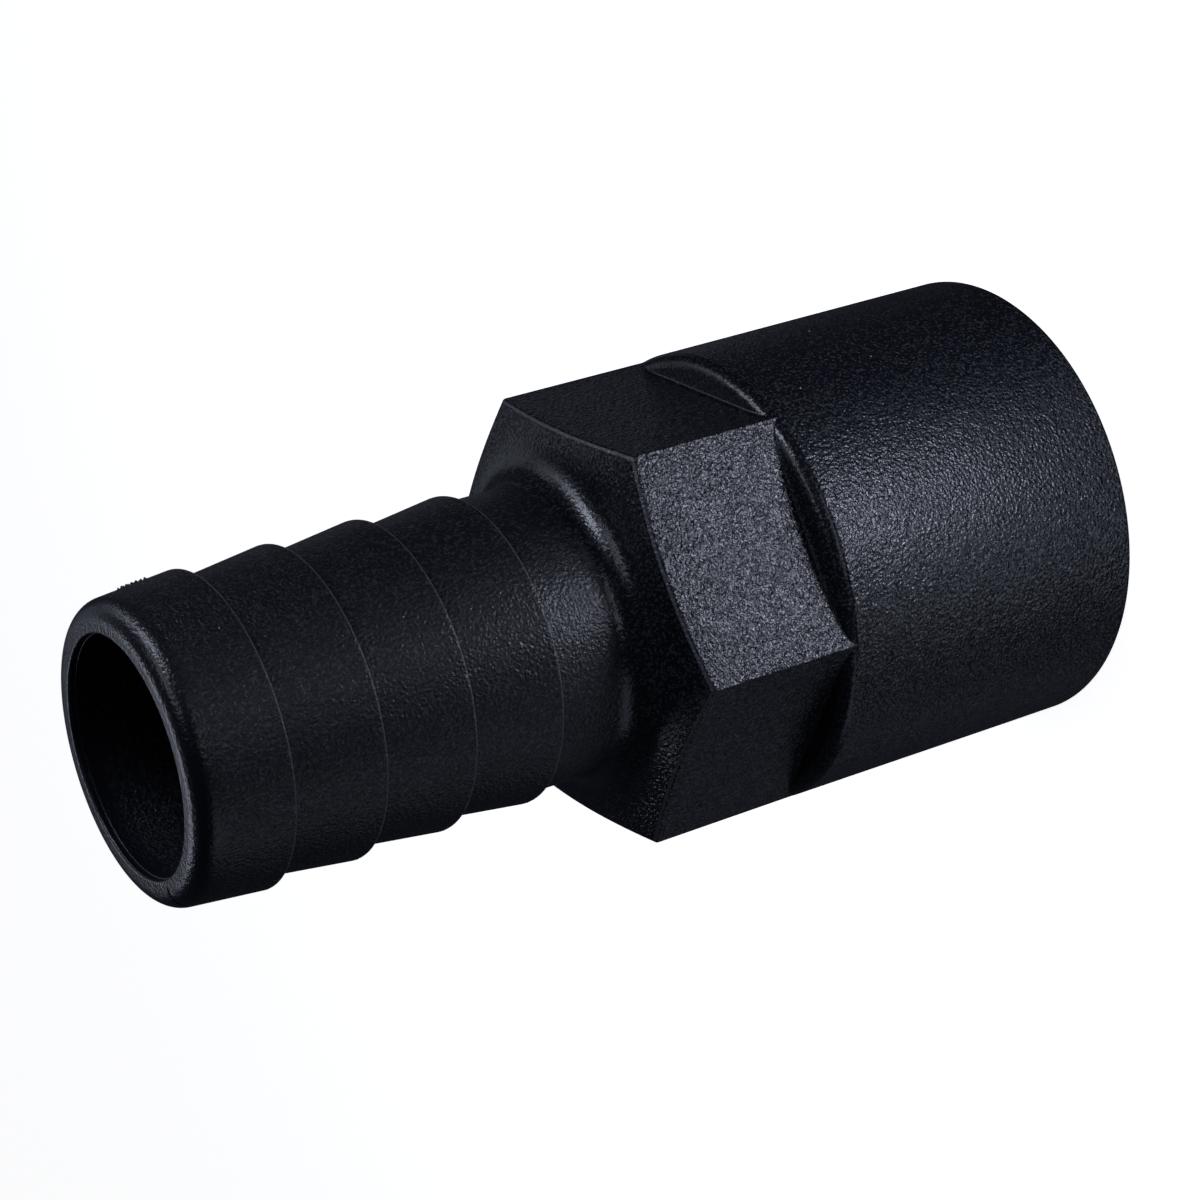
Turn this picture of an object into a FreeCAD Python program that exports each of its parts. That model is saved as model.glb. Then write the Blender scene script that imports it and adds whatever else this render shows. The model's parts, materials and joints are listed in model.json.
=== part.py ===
import FreeCAD, Part
import Sketcher
import math
import os

# Hose barb adapter, one moulding in black glass-filled plastic. A round socket for a pipe thread
# carries a spanner hexagon with a coned front face, and from that face rises a tail with three
# barbs and a rounded nose, which a hose is pushed over. A flow bore runs right through.
#
# Frame: +Z is the axis. Z = 0 is the open end of the socket, where the fitting stands, and the
# mouth of the tail is at the top. Two flats of the hexagon face along X, so two of its corners
# lie in YZ, the plane in which the mould parts. All lengths are millimetres, angles are degrees.

NODE = "adapter_body"

# Name, value and meaning of each driving size
SIZES = (
    ("thread_major_diameter", 26.44, "bottom of the G 3/4 thread, which is the socket's bore"),
    ("thread_depth", 18.5, "open end to the flat floor that the seal presses on"),
    ("thread_entry_chamfer", 0.8, "lead-in at the open end"),
    ("socket_wall", 2.5, "wall round the thread at the open end"),
    ("socket_draft_angle", 0.3, "taper of the socket's outside, narrower at the shoulder"),
    ("socket_length", 24.0, "open end to the shoulder wall"),
    ("socket_end_chamfer", 0.3, "outer edge of the open end"),
    ("shoulder_chamfer", 0.7, "outer edge of the shoulder"),
    ("hexagon_across_flats", 27.0, "spanner size"),
    ("hexagon_length", 11.1, "shoulder wall to the front edge, at the middle of a flat"),
    ("hexagon_face_angle", 16.0, "slope of the coned front face"),
    ("hexagon_front_chamfer", 0.3, "edges between the flats and the coned face"),
    ("ridge_diameter", 20.75, "sharp ridges that hold the hose"),
    ("barb_height", 0.775, "ridge above the small end of the barb before it"),
    ("barb_pitch", 6.35, "ridge to ridge"),
    ("barb_count", 3, "barbs between the neck and the nose"),
    ("neck_fall", 0.525, "first ridge above the neck"),
    ("neck_length", 6.15, "coned face at the neck to the first ridge"),
    ("neck_rounding", 2.5, "hollow fillet at the foot of the neck"),
    ("nose_length", 6.35, "last ridge to the mouth"),
    ("nose_fall", 0.575, "last ridge above the nose's taper, carried on to the mouth"),
    ("nose_rounding", 1.4, "outer edge of the mouth"),
    ("tail_wall", 1.8, "flow bore to the small end of a barb"),
)

# Radii that follow from the sizes
THREAD_RADIUS = "sizes.thread_major_diameter / 2"
END_RADIUS = f"({THREAD_RADIUS} + sizes.socket_wall)"
SHOULDER_RADIUS = f"({END_RADIUS} - sizes.socket_length * tan(sizes.socket_draft_angle))"
INSCRIBED_RADIUS = "sizes.hexagon_across_flats / 2"
RIDGE_RADIUS = "sizes.ridge_diameter / 2"
ROOT_RADIUS = f"({RIDGE_RADIUS} - sizes.barb_height)"
NECK_RADIUS = f"({RIDGE_RADIUS} - sizes.neck_fall)"
NOSE_RADIUS = f"({RIDGE_RADIUS} - sizes.nose_fall)"
BORE_RADIUS = f"({ROOT_RADIUS} - sizes.tail_wall)"
MOUTH_WALL = f"({NOSE_RADIUS} - {BORE_RADIUS})"
# Well outside the hexagon's corners
OUTSIDE_RADIUS = "sizes.hexagon_across_flats"

# Heights that follow from the sizes
SHOULDER_FOOT = "(sizes.socket_length - sizes.shoulder_chamfer)"
FACE_SLOPE = "tan(sizes.hexagon_face_angle)"
FACE_EDGE = "(sizes.socket_length + sizes.hexagon_length)"
FACE_TOP = f"({FACE_EDGE} + ({INSCRIBED_RADIUS} - {NECK_RADIUS}) * {FACE_SLOPE})"
FACE_OUTSIDE = f"({FACE_EDGE} - ({OUTSIDE_RADIUS} - {INSCRIBED_RADIUS}) * {FACE_SLOPE})"
FIRST_RIDGE = f"({FACE_TOP} + sizes.neck_length)"
LAST_RIDGE = f"({FIRST_RIDGE} + sizes.barb_count * sizes.barb_pitch)"
MOUTH = f"({LAST_RIDGE} + sizes.nose_length)"
# Room on the coned face between the neck and the bevelled front edges
FACE_ROOM = f"({INSCRIBED_RADIUS} - {NECK_RADIUS} - sizes.hexagon_front_chamfer)"

# How near a radius or a height has to be for an edge to be the one that is looked for
CLOSE = 0.005

# Ends of a sketch's line, the middle of its circle, and the sketch's own axes
START, END, CENTRE = 1, 2, 3
HORIZONTAL_AXIS, VERTICAL_AXIS = -1, -2

doc = FreeCAD.newDocument("hose_barb_adapter")


def make_sheet():
    """Spreadsheet with one row for each driving size."""
    table = doc.addObject("Spreadsheet::Sheet", "sizes")
    for row, (name, value, meaning) in enumerate(SIZES, start=1):
        table.set(f"A{row}", name)
        table.set(f"B{row}", str(value))
        table.setAlias(f"B{row}", name)
        table.set(f"C{row}", meaning)
    doc.recompute()
    return table


def number(expression):
    """Present value of an expression on the sheet."""
    result = sheet.evalExpression(expression)
    return float(getattr(result, "Value", result))


def plane_of(role):
    """One of the body's own origin planes."""
    return next(item for item in body.Origin.OriginFeatures if item.Role == role)


def new_sketch(name, role, height=None):
    """Empty sketch on an origin plane of the body, raised to a height if one is given."""
    sketch = body.newObject("Sketcher::SketchObject", name)
    sketch.AttachmentSupport = (plane_of(role), [""])
    sketch.MapMode = "FlatFace"
    if height:
        sketch.setExpression("AttachmentOffset.Base.z", height)
    doc.recompute()
    return sketch


def bind(sketch, index, name, expression):
    """Name a dimension of a sketch and tie it to the sheet."""
    sketch.renameConstraint(index, name)
    sketch.setExpression(f"Constraints.{name}", expression)


def outline_sketch(name, corners):
    """Half section in XZ, closed through its corners: each is (name, radius, height)."""
    sketch = new_sketch(name, "XZ_Plane")
    points = [FreeCAD.Vector(number(radius), number(height), 0) for _, radius, height in corners]
    for index, start in enumerate(points):
        sketch.addGeometry(Part.LineSegment(start, points[(index + 1) % len(points)]), False)
    for index in range(len(points)):
        follower = (index + 1) % len(points)
        sketch.addConstraint(Sketcher.Constraint("Coincident", index, END, follower, START))
    for index, (label, radius, height) in enumerate(corners):
        place_corner(sketch, index, label, "across", "DistanceX", radius, VERTICAL_AXIS)
        place_corner(sketch, index, label, "up", "DistanceY", height, HORIZONTAL_AXIS)
    doc.recompute()
    return sketch


def place_corner(sketch, index, label, way, kind, expression, axis):
    """Fix one coordinate of a corner: on the axis where it is nought, else by a dimension."""
    if expression == "0":
        sketch.addConstraint(Sketcher.Constraint("PointOnObject", index, START, axis))
        return
    size = number(expression)
    dimension = Sketcher.Constraint(kind, HORIZONTAL_AXIS, START, index, START, size)
    bind(sketch, sketch.addConstraint(dimension), f"{label}_{way}", expression)


def add_circle(sketch, radius, guide):
    """Add a circle about the axis to a sketch, as an outline or as a guide."""
    circle = Part.Circle(FreeCAD.Vector(0, 0, 0), FreeCAD.Vector(0, 0, 1), radius)
    index = sketch.addGeometry(circle, guide)
    sketch.addConstraint(Sketcher.Constraint("Coincident", index, CENTRE, HORIZONTAL_AXIS, START))
    return index


def circle_sketch(name, radius, height=None):
    """Circle about the axis, square to it."""
    sketch = new_sketch(name, "XY_Plane", height)
    index = add_circle(sketch, number(radius), False)
    size = sketch.addConstraint(Sketcher.Constraint("Radius", index, number(radius)))
    bind(sketch, size, "radius", radius)
    doc.recompute()
    return sketch


def hexagon_sketch(name, across_flats, height):
    """Regular hexagon about the axis, with two sides square to X."""
    sketch = new_sketch(name, "XY_Plane", height)
    corner_radius = number(across_flats) / math.sqrt(3)
    corners = []
    for step in range(6):
        turn = math.radians(30 + 60 * step)
        corners.append(FreeCAD.Vector(math.cos(turn), math.sin(turn), 0) * corner_radius)
    for index, start in enumerate(corners):
        sketch.addGeometry(Part.LineSegment(start, corners[(index + 1) % 6]), False)
    guide = add_circle(sketch, corner_radius, True)
    for index in range(6):
        follower = (index + 1) % 6
        sketch.addConstraint(Sketcher.Constraint("Coincident", index, END, follower, START))
        sketch.addConstraint(Sketcher.Constraint("PointOnObject", index, START, guide))
        if index:
            sketch.addConstraint(Sketcher.Constraint("Equal", 0, index))
    # Sides 2 and 5 are the ones square to X
    sketch.addConstraint(Sketcher.Constraint("Vertical", 2))
    width = Sketcher.Constraint("DistanceX", 2, START, 5, START, number(across_flats))
    bind(sketch, sketch.addConstraint(width), "across_flats", across_flats)
    doc.recompute()
    return sketch


def add_feature(kind, name, settings, sizes=None):
    """Add a feature after the last one, tie its sizes to the sheet and rebuild."""
    item = body.newObject(kind, name)
    for key, value in settings.items():
        setattr(item, key, value)
    for key, expression in (sizes or {}).items():
        item.setExpression(key, expression)
    body.Tip = item
    doc.recompute()
    return item


def add_cut(kind, name, settings, sizes=None):
    """Add a feature that takes material away, and make sure that it did."""
    before = body.Shape.Volume
    item = add_feature(kind, name, settings, sizes)
    if not item.Shape.Volume < before:
        raise RuntimeError(f"{name} cuts nothing")
    return item


def revolve(name, corners):
    """Turn a half section about Z and add it to the body."""
    sketch = outline_sketch(f"{name}_outline", corners)
    return add_feature("PartDesign::Revolution", name, {
        "Profile": sketch, "ReferenceAxis": (sketch, ["V_Axis"]), "Angle": 360.0})


def edges_where(test):
    """Names of the edges of the body, as it now is, that pass a test."""
    numbered = enumerate(body.Shape.Edges, start=1)
    names = [f"Edge{index}" for index, edge in numbered if not edge.Degenerated and test(edge)]
    if not names:
        raise RuntimeError(f"no edge of {body.Tip.Name} passes the test")
    return names


def ring_at(radius, height):
    """Test for a circle about the axis, of this radius and at this height."""
    wanted_radius = number(radius)
    wanted_height = number(height)

    def test(edge):
        curve = edge.Curve
        if not isinstance(curve, Part.Circle):
            return False
        same_height = abs(curve.Center.z - wanted_height) < CLOSE
        return same_height and abs(curve.Radius - wanted_radius) < CLOSE

    return test


def round_edges(name, radius, test):
    """Round the edges of the body, as it now is, that pass a test."""
    edges = edges_where(test)
    return add_feature("PartDesign::Fillet", name, {"Base": (body.Tip, edges)}, {"Radius": radius})


def bevel_edges(name, size, test):
    """Bevel the edges of the body, as it now is, that pass a test."""
    edges = edges_where(test)
    return add_cut("PartDesign::Chamfer", name, {"Base": (body.Tip, edges)}, {"Size": size})


def front_edge_test():
    """Test for the curved edges where the flats meet the coned face."""
    inscribed = number(INSCRIBED_RADIUS)
    half_height = number("sizes.socket_length + sizes.hexagon_length / 2")

    def test(edge):
        ends = [vertex.Point for vertex in edge.Vertexes]
        on_flats = all(math.hypot(end.x, end.y) > inscribed - CLOSE for end in ends)
        return on_flats and all(end.z > half_height for end in ends)

    return test


def make_socket_barrel():
    """Drafted barrel with its end and shoulder bevelled."""
    revolve("barrel", (
        ("foot", "0", "0"),
        ("end", END_RADIUS, "0"),
        ("shoulder", SHOULDER_RADIUS, "sizes.socket_length"),
        ("middle", "0", "sizes.socket_length")))
    bevel_edges("end_bevel", "sizes.socket_end_chamfer", ring_at(END_RADIUS, "0"))
    bevel_edges("shoulder_bevel", "sizes.shoulder_chamfer",
                ring_at(SHOULDER_RADIUS, "sizes.socket_length"))


def make_hexagon():
    """Hexagon whose corners run down onto the shoulder's bevel, with its front face coned."""
    sketch = hexagon_sketch("hexagon_outline", "sizes.hexagon_across_flats", SHOULDER_FOOT)
    add_feature("PartDesign::Pad", "hexagon", {"Profile": sketch},
                {"Length": f"{FACE_TOP} - {SHOULDER_FOOT}"})
    outline = outline_sketch("front_face_outline", (
        ("inner", NECK_RADIUS, FACE_TOP),
        ("outer", OUTSIDE_RADIUS, FACE_TOP),
        ("lower", OUTSIDE_RADIUS, FACE_OUTSIDE)))
    add_cut("PartDesign::Groove", "front_face", {
        "Profile": outline, "ReferenceAxis": (outline, ["V_Axis"]), "Angle": 360.0})
    bevel_edges("front_edges", "sizes.hexagon_front_chamfer", front_edge_test())


def make_neck():
    """Plain neck on the coned face, with a hollow fillet at its foot."""
    sketch = circle_sketch("neck_outline", NECK_RADIUS, FACE_TOP)
    add_feature("PartDesign::Pad", "neck", {"Profile": sketch}, {"Length": "sizes.neck_length"})
    round_edges("neck_fillet", f"min(sizes.neck_rounding; {FACE_ROOM}; sizes.neck_length)",
                ring_at(NECK_RADIUS, FACE_TOP))


def make_barbs():
    """Row of barbs, each a cone that starts with a step facing the hexagon."""
    first = revolve("barb", (
        ("foot", "0", FIRST_RIDGE),
        ("ridge", RIDGE_RADIUS, FIRST_RIDGE),
        ("root", ROOT_RADIUS, f"{FIRST_RIDGE} + sizes.barb_pitch"),
        ("top", "0", f"{FIRST_RIDGE} + sizes.barb_pitch")))
    add_feature("PartDesign::LinearPattern", "barb_row", {
        "Originals": [first], "Direction": (plane_of("Z_Axis"), [""]), "Mode": "Spacing"}, {
        "Offset": "sizes.barb_pitch", "Occurrences": "sizes.barb_count"})


def make_nose():
    """Last ridge and the tapered nose, rounded at the mouth."""
    revolve("nose", (
        ("foot", "0", LAST_RIDGE),
        ("ridge", RIDGE_RADIUS, LAST_RIDGE),
        ("end", NOSE_RADIUS, MOUTH),
        ("top", "0", MOUTH)))
    # The wall of the mouth has to hold the rounding and leave a flat rim
    round_edges("nose_rounding", f"min(sizes.nose_rounding; {MOUTH_WALL} * 0.75)",
                ring_at(NOSE_RADIUS, MOUTH))


def make_bores():
    """Flow bore right through, the wider bore of the socket and its lead-in."""
    flow = circle_sketch("flow_bore_outline", BORE_RADIUS)
    add_cut("PartDesign::Pocket", "flow_bore", {
        "Profile": flow, "Type": "ThroughAll", "Reversed": True})
    socket = circle_sketch("thread_bore_outline", THREAD_RADIUS)
    add_cut("PartDesign::Pocket", "thread_bore", {"Profile": socket, "Reversed": True},
            {"Length": "sizes.thread_depth"})
    bevel_edges("thread_entry", "sizes.thread_entry_chamfer", ring_at(THREAD_RADIUS, "0"))


def check_document():
    """Stop if a feature failed or the finished shape isn't one valid solid."""
    for item in doc.Objects:
        if "Invalid" in item.State or "Error" in item.State:
            raise RuntimeError(f"{item.Name} failed: {item.State}")
    shape = body.Shape
    if shape.isNull() or not shape.isValid() or len(shape.Solids) != 1:
        raise RuntimeError(f"{body.Label} isn't one valid solid")


sheet = make_sheet()
body = doc.addObject("PartDesign::Body", NODE)
body.Label = NODE
body.Placement = FreeCAD.Placement()
doc.recompute()

make_socket_barrel()
make_hexagon()
make_neck()
make_barbs()
make_nose()
make_bores()
check_document()

os.makedirs("parts", exist_ok=True)
body.Shape.exportStep(f"parts/{NODE}.step")
print(f"{NODE}: {body.Shape.Volume / 1000:.2f} cubic cm, {number(MOUTH):.2f} mm long")
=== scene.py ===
import json
import math
from typing import NamedTuple

import bpy
import numpy as np
from bpy.props import FloatProperty, FloatVectorProperty, IntProperty, PointerProperty
from mathutils import Matrix, Vector


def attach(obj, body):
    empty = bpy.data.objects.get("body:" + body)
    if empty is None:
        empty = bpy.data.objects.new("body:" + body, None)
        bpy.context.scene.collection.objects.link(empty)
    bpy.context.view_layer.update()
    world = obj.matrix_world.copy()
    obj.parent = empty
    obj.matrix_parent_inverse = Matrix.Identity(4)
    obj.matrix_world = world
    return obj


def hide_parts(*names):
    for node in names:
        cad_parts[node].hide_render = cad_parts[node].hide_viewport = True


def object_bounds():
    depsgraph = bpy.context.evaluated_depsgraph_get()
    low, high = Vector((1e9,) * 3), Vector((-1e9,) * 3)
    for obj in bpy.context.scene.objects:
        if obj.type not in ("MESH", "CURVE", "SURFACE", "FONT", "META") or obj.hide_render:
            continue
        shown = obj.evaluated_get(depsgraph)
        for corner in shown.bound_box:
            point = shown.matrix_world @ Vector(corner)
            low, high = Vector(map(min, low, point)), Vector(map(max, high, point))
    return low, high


bl_info = {
    "name": "Hose barb adapter",
    "version": (1, 0, 0),
    "blender": (4, 5, 0),
    "location": "View3D > Sidebar > Adapter",
    "description": "Black moulded hose barb adapter with a threaded socket, on a pale floor",
    "category": "Add Mesh",
}

# Frame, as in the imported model: +Z is the axis, z = 0 is the open end of the socket, two flats of
# the hexagon face along X and the mould parts in YZ. Lengths are metres and angles are radians.
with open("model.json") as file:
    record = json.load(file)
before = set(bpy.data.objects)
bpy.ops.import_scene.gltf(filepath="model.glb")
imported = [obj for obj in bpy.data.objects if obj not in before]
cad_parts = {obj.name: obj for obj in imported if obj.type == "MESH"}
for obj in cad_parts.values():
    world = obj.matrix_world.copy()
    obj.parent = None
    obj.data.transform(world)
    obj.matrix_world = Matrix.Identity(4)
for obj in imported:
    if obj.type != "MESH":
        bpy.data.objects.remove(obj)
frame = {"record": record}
CAD_LOW, CAD_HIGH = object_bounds()

MM = 0.001
NODE = "adapter_body"
BODY = "root"
MOUNTS = {mount["name"]: mount for mount in frame["record"]["mounts"]}
THREAD_DIMS = MOUNTS["socket_thread"]["dims"]

# A sixth of a turn, and the two azimuths at which the mould parts
SIXTH = math.pi / 3
PARTING = (math.pi / 2, -math.pi / 2)

# Width of the camera's sensor in millimetres
SENSOR_WIDTH = 36.0


def length(name, description, millimetres):
    """Property for a length, with its default given in millimetres."""
    return FloatProperty(name=name, description=description, default=millimetres * MM,
                         precision=6, unit="LENGTH")


def angle(name, description, degrees):
    """Property for an angle, with its default given in degrees."""
    return FloatProperty(name=name, description=description, default=math.radians(degrees),
                         precision=4, subtype="ANGLE", unit="ROTATION")


def number(name, description, value):
    """Property for a plain number."""
    return FloatProperty(name=name, description=description, default=value, precision=4)


def colour(name, description, value):
    """Property for a colour."""
    return FloatVectorProperty(name=name, description=description, default=value, size=3,
                               subtype="COLOR", min=0.0, max=1.0)


class MouldingSizes(bpy.types.PropertyGroup):
    """Sizes of the moulding."""

    length: length("Length", "Open end of the socket to the mouth", CAD_HIGH.z / MM)
    socket_radius: length("Socket radius", "Outside of the socket at its open end", 15.72)
    socket_length: length("Socket length", "Open end to the shoulder wall", 24.0)
    socket_draft: angle("Socket draft", "Taper of the socket's outside", 0.3)
    end_rounding: length("End rounding", "Outer edge of the open end", 0.3)
    shoulder_rounding: length("Shoulder rounding", "Outer edge of the shoulder", 1.0)
    bore_radius: length("Bore radius", "Bottom of the thread", THREAD_DIMS["r_mm"])
    bore_depth: length("Bore depth", "Open end to the socket's floor", 18.5)
    bore_chamfer: length("Bore chamfer", "Lead-in at the open end", 0.8)
    hexagon_inradius: length("Hexagon inradius", "Axis to a flat", 13.5)
    hexagon_length: length("Hexagon length", "Shoulder wall to the front edge", 11.1)
    hexagon_slope: angle("Front face slope", "Cone of the hexagon's front face", 16.0)
    hexagon_front: length("Front rounding", "Edges between the flats and the front face", 0.4)
    hexagon_corner: length("Corner rounding", "Edges between two flats", 0.07)
    hexagon_root: length("Root rounding", "Hollow corner between a flat and the shoulder", 0.25)
    ridge_radius: length("Ridge radius", "Ridges that hold the hose", 10.375)
    ridge_rounding: length("Ridge rounding", "Edge of each ridge", 0.1)
    ridge_land: length("Ridge land", "Flattened top of each ridge", 0.2)
    barb_height: length("Barb height", "Ridge above the root before it", 0.775)
    barb_pitch: length("Barb pitch", "Ridge to ridge", 6.35)
    barb_count: IntProperty(name="Barbs", description="Barbs between neck and nose", default=3)
    neck_fall: length("Neck fall", "First ridge above the neck", 0.525)
    neck_rounding: length("Neck rounding", "Hollow fillet at the foot of the neck", 2.5)
    nose_length: length("Nose length", "Last ridge to the mouth", 6.35)
    nose_fall: length("Nose fall", "Last ridge above the nose's end", 0.575)
    nose_rounding: length("Nose rounding", "Outer edge of the mouth", 1.4)
    flow_radius: length("Flow bore radius", "Bore through the tail", 7.8)
    mouth_step: length("Mouth step", "First stretch of the bore is this much wider", 0.06)
    mouth_depth: length("Mouth depth", "Length of that first stretch", 0.5)
    mouth_rounding: length("Mouth rounding", "Inner edge of the mouth", 0.16)


class MarkSizes(bpy.types.PropertyGroup):
    """Sizes of the marks that the mould left."""

    parting_height: length("Parting line height", "Ridge where the mould parts", 0.012)
    parting_width: length("Parting line width", "Half its width", 0.06)
    parting_fade: length("Parting line fade", "Stretch over which it ends", 0.6)
    nick_depth: length("Nick depth", "Crack across the mouth's edge", 0.12)
    nick_width: length("Nick width", "Half its width", 0.05)
    nick_lip: length("Nick lip", "Raised edge beside the crack", 0.03)
    nick_reach: length("Nick reach", "How far down from the mouth the crack goes", 0.55)
    nick_wander: length("Nick wander", "How far the crack winds to each side", 0.06)
    flash_length: length("Flash length", "Patch of flash on the nose", 2.4)
    flash_height: length("Flash height", "Its highest lump", 0.20)
    flash_width: length("Flash width", "Half its width", 0.22)
    flash_setback: length("Flash setback", "Mouth to the patch's middle", 4.1)


class ThreadSizes(bpy.types.PropertyGroup):
    """Sizes of the G 3/4 pipe thread in the socket."""

    pitch: length("Pitch", "Turn to turn", 1.814)
    flank: angle("Flank angle", "Flank to the cross-section's plane", 27.5)
    start: length("Start", "Middle of the first turn above the open end", 1.35)
    finish: length("Finish", "Middle of the last turn above the open end", 16.5)
    fade: number("Fade", "Share of a turn over which an end runs out", 0.45)
    sink: length("Sink", "Depth of the thread's back in the socket's wall", 0.12)


class PlasticLook(bpy.types.PropertyGroup):
    """Colour and grain of the plastic."""

    base: colour("Base colour", "Black, slightly blue", (0.0042, 0.0048, 0.0078))
    # Paler tone of the winding lines: partly the glass fibres' own tone and partly a painted glint,
    # which lightens the lines even where no lamp is mirrored in them.
    fibre_and_glint_tone: colour("Bloom colour", "Paler tone on the winding lines", (0.036, 0.037, 0.041))
    fibre_and_glint_share: number("Bloom share", "Strength of that tone on hexagon and socket", 1.0)
    tail_fibre_and_glint_share: number("Tail bloom share", "Strength of that tone on the tail", 0.9)
    # Painted highlight: a pale colour along the ridges' tops and the flats' front edges, where
    # their rounded edges catch the light.
    edge_highlight_paint: colour("Scuff colour", "Worn edges of ridges and flats", (0.07, 0.073, 0.082))
    highlit_edge_roughness: number("Scuff roughness", "Worn edges of ridges and flats", 0.28)
    speck: colour("Speck colour", "Dust on the surface", (0.55, 0.56, 0.6))
    pit: length("Pit", "Width of the pits left by spark erosion", 0.22)
    pit_depth: length("Pit depth", "Pits on hexagon and socket", 0.12)
    fillet_pit_depth: length("Fillet pit depth", "Pits on shoulder and hollow fillet", 0.03)
    tail_pit_depth: length("Tail pit depth", "Pits on neck, barbs and nose", 0.085)
    mouth_pit_depth: length("Mouth pit depth", "Pits round the mouth", 0.045)
    ripple: length("Ripple", "Width of the slow unevenness", 1.4)
    ripple_depth: length("Ripple depth", "Height of the slow unevenness", 0.012)
    fibre: length("Fibre", "Width of the cells that the winding lines run round", 0.26)
    line: number("Line", "Width of a winding line, as a difference of the noise", 0.08)
    spot: length("Spot", "Width of the patches in which those lines show", 0.24)
    shown: number("Shown", "Noise above which those lines show", 0.48)
    roughness: number("Roughness", "Hexagon and socket", 0.16)
    line_roughness: number("Line roughness", "Winding lines on hexagon and socket", 0.09)
    fillet_roughness: number("Fillet roughness", "Shoulder and hollow fillet", 0.22)
    tail_roughness: number("Tail roughness", "Neck, barbs and nose", 0.37)
    tail_line_roughness: number("Tail line roughness", "Winding lines on the tail", 0.28)
    mouth_roughness: number("Mouth roughness", "Round the mouth", 0.30)
    refraction: number("Refraction", "Index of refraction", 1.52)


class StageSettings(bpy.types.PropertyGroup):
    """Camera and light."""

    camera_target: FloatVectorProperty(
        name="Target", description="Point at the middle of the picture", size=3,
        default=(0.000069, 0.000864, 0.032456), subtype="XYZ", unit="LENGTH", precision=6)
    camera_distance: length("Camera distance", "Camera to the target", 217.02)
    camera_azimuth: angle("Camera azimuth", "Turn from +X towards +Y", -4.595)
    camera_elevation: angle("Camera elevation", "Above the floor", 29.5)
    camera_roll: angle("Camera roll", "Turn about the line of sight", 106.77)
    camera_lens: number("Lens", "Focal length in millimetres", 97.92)
    floor_radius: length("Floor radius", "Round floor", 4000.0)
    floor_colour: colour("Floor colour", "Pale floor", (0.93, 0.93, 0.93))
    surround: colour("Surround", "Light from all round", (0.014, 0.016, 0.022))
    lamp_colour: colour("Lamp colour", "Cool white of the softboxes", (0.76, 0.81, 1.0))


def settings():
    """Property groups of the scene."""
    return bpy.context.scene.adapter


# Surfaces


def unit(vectors):
    """Vectors brought to length one."""
    return vectors / np.linalg.norm(vectors, axis=-1, keepdims=True)


def arc(centre, start, end, count):
    """Points on a circle: the direction from its centre turns evenly, the short way, from the
    start to the end."""
    first = start - centre
    last = end - centre
    radius = np.linalg.norm(first, axis=-1)[..., None]
    begin = np.arctan2(first[..., 1], first[..., 0])
    swing = np.arctan2(last[..., 1], last[..., 0]) - begin
    swing = (swing + np.pi) % (2 * np.pi) - np.pi
    angles = begin + np.linspace(0, 1, count)[:, None] * swing
    return centre + radius * np.stack((np.cos(angles), np.sin(angles)), axis=-1)


def corner_sides(before, corner, after):
    """Directions of the two sides of a corner, and half the angle between them: half the arc
    cosine of their scalar product."""
    towards = unit(before - corner)
    away = unit(after - corner)
    half = np.arccos(np.sum(towards * away, axis=-1, keepdims=True)) / 2
    return towards, away, half


def fillet_centre(before, corner, after, radius):
    """Centre of the arc that rounds a corner: it is on the bisector, at the radius over the sine
    of half the angle between the two sides."""
    towards, away, half = corner_sides(before, corner, after)
    return corner + unit(towards + away) * radius / np.sin(half)


def fillet(before, corner, after, radius, count):
    """Arc that rounds a corner and touches both sides, each at the radius over the tangent of
    half the angle between them."""
    towards, away, half = corner_sides(before, corner, after)
    reach = radius / np.tan(half)
    centre = fillet_centre(before, corner, after, radius)
    return arc(centre, corner + towards * reach, corner + away * reach, count)


def run(start, end, count):
    """Points on a straight line between two ends: one just beside each end and the others evenly
    between, so that shading stays flat along the line."""
    beside_end = 0.03 * MM
    greatest_share = 0.2
    margin = np.minimum(beside_end / np.linalg.norm(end - start, axis=-1), greatest_share)
    shares = margin + np.linspace(0, 1, count)[:, None] * (1 - 2 * margin)
    return start + shares[..., None] * (end - start)


def moulding_turns():
    """Azimuths of the grid's columns: evenly spaced, with more at the hexagon's edges, and most at
    the two edges that the parting line runs along. An even one that is too near to one of these
    is left out. The sums are in degrees and the result in radians."""
    even_count = 336
    too_near = 0.3
    even = np.arange(0, 360, 360 / even_count)
    corners = np.arange(30, 360, 60)
    near_corner = np.array([-0.32, -0.17, -0.13, -0.065, 0, 0.065, 0.13, 0.17, 0.32])
    beside_parting = np.array([0.24, 0.4, 0.5, 0.65, 0.8, 1.0, 1.3])
    near_parting = np.concatenate((-beside_parting, beside_parting))
    dense = [corner + near_corner for corner in corners]
    dense += [np.degrees(azimuth) % 360 + near_parting for azimuth in PARTING]
    dense = np.concatenate(dense)
    gap = np.abs((even[:, None] - dense[None, :] + 180) % 360 - 180).min(axis=1)
    return np.radians(np.sort(np.concatenate((even[gap > too_near], dense))))


def hexagon_reach(turns, inradius, rounding):
    """Distance from the axis to the hexagon: the inradius over the cosine of the angle from the
    middle of the flat, and at a corner the far side of the small circle that rounds it."""
    off_flat = (turns + SIXTH / 2) % SIXTH - SIXTH / 2
    off_corner = SIXTH / 2 - np.abs(off_flat)
    middle = (inradius - rounding) / math.cos(SIXTH / 2)
    across = np.maximum(rounding ** 2 - (middle * np.sin(off_corner)) ** 2, 0)
    contact = math.atan2(rounding * math.sin(SIXTH / 2),
                         middle + rounding * math.cos(SIXTH / 2))
    rounded = middle * np.cos(off_corner) + np.sqrt(across)
    return np.where(off_corner < contact, rounded, inradius / np.cos(off_flat))


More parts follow.
